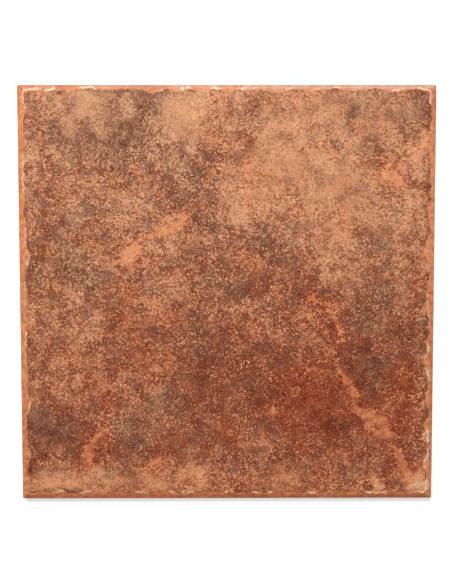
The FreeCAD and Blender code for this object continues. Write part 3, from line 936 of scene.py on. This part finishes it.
# The finest marks are lighter or darker than the wash about them: light ones are dustier, dark ones
# redder. The last limit keeps the lightest from looking frosted.
fine = add("Math", [total, wide_tone], operation="SUBTRACT")
dusty = add("VectorMath", [fine, (-0.15, 0.0, 0.6), (1.0, 1.0, 0.99)], operation="MULTIPLY_ADD")
redder = add("VectorMath", [fine, (-0.2, 0.0, 1.8), (1.0, 1.0, 0.99)], operation="MULTIPLY_ADD")
fine_tint = add("VectorMath", [dusty, redder], operation="MINIMUM")
fine_tint = add("VectorMath", [fine_tint, (1.0, 1.0, 1.12)], operation="MINIMUM")
colour = add("VectorMath", [colour, fine_tint], operation="MULTIPLY")
# Small spots differ in hue, some more orange and some more grey than the slip about them.
spot_tint = add(
    "VectorMath", [mist, (0.15, -0.05, -0.35), (0.925, 1.025, 1.175)], operation="MULTIPLY_ADD")
colour = add("VectorMath", [colour, spot_tint], operation="MULTIPLY")
print("nodes with the slip's colour:", len(tree.nodes))

# %% [markdown]
# ### Bare clay
# In a scar the orange clay itself shows. It has a ramp of its own, which covers the slip wherever the
# scar's field, frayed by three noises, is above zero. The rim is bare too and takes the same colour.

# %% Bare clay in the scars
# Scars in dark slip are darker too, as some of the slip stays in their grain.
bare_tone = add("Math", [mist, 0.9, -0.75], operation="MULTIPLY_ADD")
bare_tone = add("Math", [grain, 0.5, bare_tone], operation="MULTIPLY_ADD")
bare_tone = add("Math", [read["tone"], 1.2, bare_tone], operation="MULTIPLY_ADD")
bare_colour = add("ValToRGB", [bare_tone], stops=[
    (0, "aa552f"), (0.4, "cb774e"), (0.62, "e29465"), (1, "f0af84")])
# Low warmth turns the bare clay pale: in the greyer patches that is the clay's own colour, and on the back
# rim it is a painted sheen.
pale_clay_and_sheen_place = add("Math", [hue, 2.4, -1.2], operation="MULTIPLY_ADD")
pale_clay_and_sheen_place = add("Math", [read["warmth"], pale_clay_and_sheen_place], operation="ADD")
pale_clay_and_sheen_share = add("MapRange", [pale_clay_and_sheen_place, -0.2, -1.6, 0.0, 0.75])
bare_colour = add("Mix", {0: pale_clay_and_sheen_share, 6: bare_colour, 7: linear("e6c0a6")}, out=2, data_type="RGBA")
# Flecks, spots and grains fray the border of a scar.
frayed = add("Math", [fleck, 2.4, -2.55], operation="MULTIPLY_ADD")
frayed = add("Math", [mist, 1.7, frayed], operation="MULTIPLY_ADD")
frayed = add("Math", [grain, frayed], operation="ADD")
scar_edge = add("Math", [read["scar"], frayed], operation="ADD")
scar_share = add("MapRange", [scar_edge, -0.1, 0.1], interpolation_type="SMOOTHSTEP")
colour = add("Mix", {0: scar_share, 6: colour, 7: bare_colour}, out=2, data_type="RGBA")
print("nodes with the scars:", len(tree.nodes))

# %% [markdown]
# ### Crust, rim and beads
# The dark crust, the bare rim and the pale beads lie one over the other along the broken edge. A ring
# of colour at a set distance would look drawn. These follow the distance from the foot of the edge,
# so they bend with it, and they come and go with their runs.

# %% Dark crust on the crest, bare rim and pale beads
# Noise moves the borders of all three in and out, so that none of them is a clean line.
ragged = add("Math", [fleck, 4.0, -3.5], operation="MULTIPLY_ADD")
ragged = add("Math", [mist, 3.0, ragged], operation="MULTIPLY_ADD")
ragged_place = add("Math", [read["from_foot"], ragged], operation="ADD")
# The stronger a run of crust is, the further in it reaches.
crust_place = add("Math", [read["crust"], -1.8, ragged_place], operation="MULTIPLY_ADD")
crust_in = add("MapRange", [crust_place, 1.8, 0.0, 0.0, 0.85], interpolation_type="SMOOTHSTEP")
crust_share = add("Math", [crust_in, read["crust"]], operation="MULTIPLY", use_clamp=True)
crust_colour = add("ValToRGB", [mist], stops=[(0, "482b1f"), (0.5, "694435"), (1, "946a54")])
colour = add("Mix", {0: crust_share, 6: colour, 7: crust_colour}, out=2, data_type="RGBA")
rim_share = add("MapRange", [ragged_place, 1.2, 0.3], interpolation_type="SMOOTHSTEP")
colour = add("Mix", {0: rim_share, 6: colour, 7: bare_colour}, out=2, data_type="RGBA")
# A bead is as wide as its run is strong, and noise breaks it up. Strong runs on a pale rim are cream,
# and weak ones or those on a warm rim are peach.
bead_place = add("Math", [read["from_bead"], ragged], operation="ADD")
bead_in = add("MapRange", [bead_place, 1.4, 0.6], interpolation_type="SMOOTHSTEP")
bead_place = add("Math", [read["cream"], bead_place], operation="ADD")
bead_out = add("MapRange", [bead_place, -0.4, 0.4], interpolation_type="SMOOTHSTEP")
bead = add("Math", [bead_out, bead_in], operation="MULTIPLY")
bead_break = add("MapRange", [mist, 0.36, 0.48], interpolation_type="SMOOTHSTEP")
bead_break = add("Math", [bead_break, read["cream"]], operation="MULTIPLY")
bead = add("Math", [bead, bead_break], operation="MULTIPLY", use_clamp=True)
bead_tone = add("Math", [mist, 0.8, -0.4], operation="MULTIPLY_ADD")
bead_tone = add("Math", [read["cream"], bead_tone], operation="ADD")
bead_tone = add("Math", [read["warmth"], -0.9, bead_tone], operation="MULTIPLY_ADD")
bead_colour = add("ValToRGB", [bead_tone], stops=[
    (0, "f6b07c"), (0.5, "fac096"), (0.8, "facda6"), (1, "f8d7b6")])
colour = add("Mix", {0: bead, 6: colour, 7: bead_colour}, out=2, data_type="RGBA")
print("nodes with the edge:", len(tree.nodes))

# %% [markdown]
# ### Sheen and grain
# Fired slip is matt, and a little smoother where it is rubbed or has dried in beads. The mesh has the
# hollows, and a faint bump adds the grain that is finer than its cells.

# %% Grain of the surface and the shader of the face
rough = add("MapRange", [fleck, 0.3, 0.7, 0.76, 0.62])
rough = add("Math", [bead, -0.25, rough], operation="MULTIPLY_ADD")
pits = add("Math", [rubbed, 0.5, grain], operation="MULTIPLY_ADD")
relief = add("Bump", {"Height": pits, "Distance": 0.08 * MM, "Strength": 0.8})
shader = add("BsdfPrincipled", {
    "Base Color": colour, "Roughness": rough, "Normal": relief, "IOR": 1.5, "Specular IOR Level": 0.12})
add("OutputMaterial", {"Surface": shader})
print(face_clay.name, "has", len(tree.nodes), "nodes")

# %% [markdown]
# ## The bare clay of the sides and back
# Real: the same terracotta as it left the press and the kiln, never washed with slip. That gives a
# dry, dusty orange skin with fine sand in it and small dark grains of iron. Chalky kiln wash, which
# keeps tiles from sticking to the kiln's rollers, is left in thin pale smears on the ribs.

# %% Material of the sides and back
bare_clay = bpy.data.materials.new("terracotta_pressed_and_fired_bare")
tree = empty_tree(bare_clay)
place = add("TexCoord", out="Object")
# Sizes in mm: sand, smears, and how far apart the grains of iron lie. Real sand is finer, and is drawn
# coarser to show.
sand_size, smear_size, iron_spacing = 1.5, 14, 7
sand = add("TexNoise", {
    "Vector": place, "Scale": 1 / (sand_size * MM), "Detail": 2.0, "Roughness": 0.55})
smear = add("TexNoise", {
    "Vector": place, "Scale": 1 / (smear_size * MM), "Detail": 3.0, "Distortion": 0.4})
iron = add("TexVoronoi", {"Vector": place, "Scale": 1 / (iron_spacing * MM)}, out="Distance")
bare_tone = add("Math", [smear, 0.7], operation="MULTIPLY")
bare_tone = add("Math", [sand, 0.3, bare_tone], operation="MULTIPLY_ADD")
bare_colour = add("ValToRGB", [bare_tone], stops=[
    (0, "a4542c"), (0.4, "c57245"), (0.6, "d28256"), (1, "e49d72")])
iron_share = add("MapRange", [iron, 0.12, 0.05, 0.0, 0.7])
colour = add("Mix", {0: iron_share, 6: bare_colour, 7: linear("6b3a24")}, out=2, data_type="RGBA")
rib_read = add("Attribute", out="Fac", attribute_name="ribs")
wash_place = add("Math", [sand, 0.5, smear], operation="MULTIPLY_ADD")
wash_share = add("MapRange", [wash_place, 0.66, 0.90, 0.15, 0.6])
wash_share = add("Math", [wash_share, rib_read], operation="MULTIPLY")
colour = add("Mix", {0: wash_share, 6: colour, 7: linear("e2cdb8")}, out=2, data_type="RGBA")
relief = add("Bump", {"Height": sand, "Distance": 0.15 * MM, "Strength": 0.7})
rough = add("MapRange", [sand, 0.3, 0.7, 0.92, 0.8])
shader = add("BsdfPrincipled", {
    "Base Color": colour, "Roughness": rough, "Normal": relief, "IOR": 1.5, "Specular IOR Level": 0.1})
add("OutputMaterial", {"Surface": shader})

tile_mesh.materials.append(face_clay)
tile_mesh.materials.append(bare_clay)
face_count = len(quads[0])
material_numbers = np.ones(len(tile_mesh.polygons), dtype=np.int32)
material_numbers[:face_count] = 0
tile_mesh.polygons.foreach_set("material_index", material_numbers)
print(face_clay.name, "on", face_count, "faces,", bare_clay.name, "on", len(material_numbers) - face_count)

# %% [markdown]
# ## Floor and soft light
# The tile lies on a white sheet. The sheet is a plain mesh that takes the tile's shadow, and part
# of its white is light that only the camera and reflections see, so the tile gets no more of it.
# A window in the sheet, which the tile covers, shows the back and its pockets from below.

# %% Floor
floor_mesh = bpy.data.meshes.new("white_sheet")
# How far the sheet and its window reach, in m. The tile overlaps the window by 3 mm all round.
floor_reach, window_reach = 6.0, (half_side - 3) * MM
square_corners = np.array([[-1, -1, 0], [1, -1, 0], [1, 1, 0], [-1, 1, 0]])
floor_corners = np.concatenate([square_corners * floor_reach, square_corners * window_reach])
floor_faces = [(start, (start + 1) % 4, 4 + (start + 1) % 4, 4 + start) for start in range(4)]
floor_mesh.from_pydata(floor_corners.tolist(), [], floor_faces)
white_sheet = put_in_scene("white_sheet", floor_mesh)
white_sheet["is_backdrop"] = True


def seen_rays():
    """Adds nodes that give 1 for light seen by the camera, in gloss or through glass, and 0 for the
    light that falls on things."""
    path = add("LightPath").node.outputs
    seen = add("Math", [path["Is Camera Ray"], path["Is Glossy Ray"]], operation="MAXIMUM")
    return add("Math", [seen, path["Is Transmission Ray"]], operation="MAXIMUM")


sheet_white = bpy.data.materials.new("matt_white_paper")
tree = empty_tree(sheet_white)
# The white that the paper adds to the light on it, and where it turns to the white of the world, in m
paper_glow, far_starts, far_ends = 0.54, 0.5, 1.4
seen = seen_rays()
own_white = add("Emission", {"Strength": add("Math", [seen, paper_glow], operation="MULTIPLY")})
paper = add("BsdfDiffuse", {"Color": (0.85, 0.85, 0.85, 1)})
near_sheet = add("AddShader", [own_white, paper])
# Well away from the tile and its shadow the sheet is seen as white as the world, so no horizon shows.
distance = add("VectorMath", [add("TexCoord", out="Object")], out="Value", operation="LENGTH")
far_share = add("MapRange", [distance, far_starts, far_ends, 0.0, seen], interpolation_type="SMOOTHSTEP")
far_sheet = add("Emission", {"Strength": 1.0})
add("OutputMaterial", {"Surface": add("MixShader", [far_share, near_sheet, far_sheet])})
floor_mesh.materials.append(sheet_white)
print(white_sheet.name, "has a window of", round(2 * window_reach, 3), "m under the tile")

# %% Surroundings
world = bpy.data.worlds.new("white_studio")
tree = empty_tree(world)
soft_fill = 0.216
strength = add("MapRange", {"Value": seen_rays(), "To Min": soft_fill, "To Max": 1.0})
backdrop = add("Background", {"Color": (1, 1, 1, 1), "Strength": strength})
add("OutputWorld", {"Surface": backdrop})
bpy.context.scene.world = world
print("soft fill of", soft_fill, "from all round")

# %% [markdown]
# ## Lamp
# The rim is brightest at the top and darkest at the bottom, and a little brighter on the left, so
# one large soft lamp stands high beyond the top edge, a little to the left. A small lamp would throw
# a harder shadow along the lower edge than the photograph has.

# %% Lamp
lamp_height, lamp_turn, lamp_distance = np.radians(48), np.radians(14), 2.5
lamp_way = np.array([
    -np.sin(lamp_turn) * np.cos(lamp_height), np.cos(lamp_turn) * np.cos(lamp_height), np.sin(lamp_height)])
# A flat lamp's light on a sheet: power times the sine of its height over pi squared and distance squared.
key_share = 0.75
lamp_data = bpy.data.lights.new("soft_box", "AREA")
lamp_data.shape = "SQUARE"
lamp_data.size = 1.1
lamp_data.energy = key_share * np.pi ** 2 * lamp_distance ** 2 / np.sin(lamp_height)
soft_box = put_in_scene("soft_box", lamp_data)
soft_box.location = lamp_way * lamp_distance
lamp_x = np.cross([0, 0, 1], lamp_way)
lamp_x = lamp_x / np.linalg.norm(lamp_x)
soft_box.rotation_euler = Matrix(np.stack([lamp_x, np.cross(lamp_way, lamp_x), lamp_way], axis=1)).to_euler()
print("lamp of", round(lamp_data.energy, 1), "W at", np.round(soft_box.location, 2))

# %% [markdown]
# ## Camera
# The photograph looks almost straight down, with the top edge a little nearer. The four corners of
# the tile in the picture fix where the camera stood: four points of one plane give eight equations
# for the map from that plane to the picture, and that map holds the camera's turn and its place.

# %% Camera from the four corners
picture_width, picture_height = 452, 584
corner_pixels = np.array([[16.6, 84.7], [436.3, 84.9], [431.3, 497.8], [23.1, 498.2]])
corner_places = np.array([[-1, 1], [1, 1], [1, -1], [-1, -1]]) * half_side * MM
lens, sensor = 50.0, 36.0
focal = lens / sensor * picture_height
rays = (corner_pixels - [picture_width / 2, picture_height / 2]) / focal
rows = []
for (x, y), (u, v) in zip(corner_places, rays):
    rows.append([x, y, 1, 0, 0, 0, -u * x, -u * y])
    rows.append([0, 0, 0, x, y, 1, -v * x, -v * y])
plane_map = np.append(np.linalg.solve(rows, rays.ravel()), 1).reshape(3, 3)
plane_map = plane_map * 2 / (np.linalg.norm(plane_map[:, 0]) + np.linalg.norm(plane_map[:, 1]))
across, up, shift = plane_map.T
# The two measured directions are made square to each other: the nearest turn, by singular values.
left_turn, _, right_turn = np.linalg.svd(np.stack([across, up, np.cross(across, up)], axis=1))
turn = left_turn @ right_turn
camera_place = -turn.T @ shift + [0, 0, side_top * MM]
camera_axes = (np.diag([1, -1, -1]) @ turn).T
camera_data = bpy.data.cameras.new("camera")
camera_data.lens = lens
camera_data.sensor_width = sensor
camera = put_in_scene("camera", camera_data)
camera.location = camera_place
camera.rotation_euler = Matrix(camera_axes).to_euler()
bpy.context.scene.camera = camera
bpy.context.scene.view_settings.view_transform = "Standard"
print("camera at", np.round(camera_place, 3), "m")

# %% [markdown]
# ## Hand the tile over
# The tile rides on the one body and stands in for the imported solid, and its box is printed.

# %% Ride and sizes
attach(pressed_tile, "root")
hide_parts("floor_tile")
low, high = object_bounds()
print("visual box from", tuple(low), "to", tuple(high))
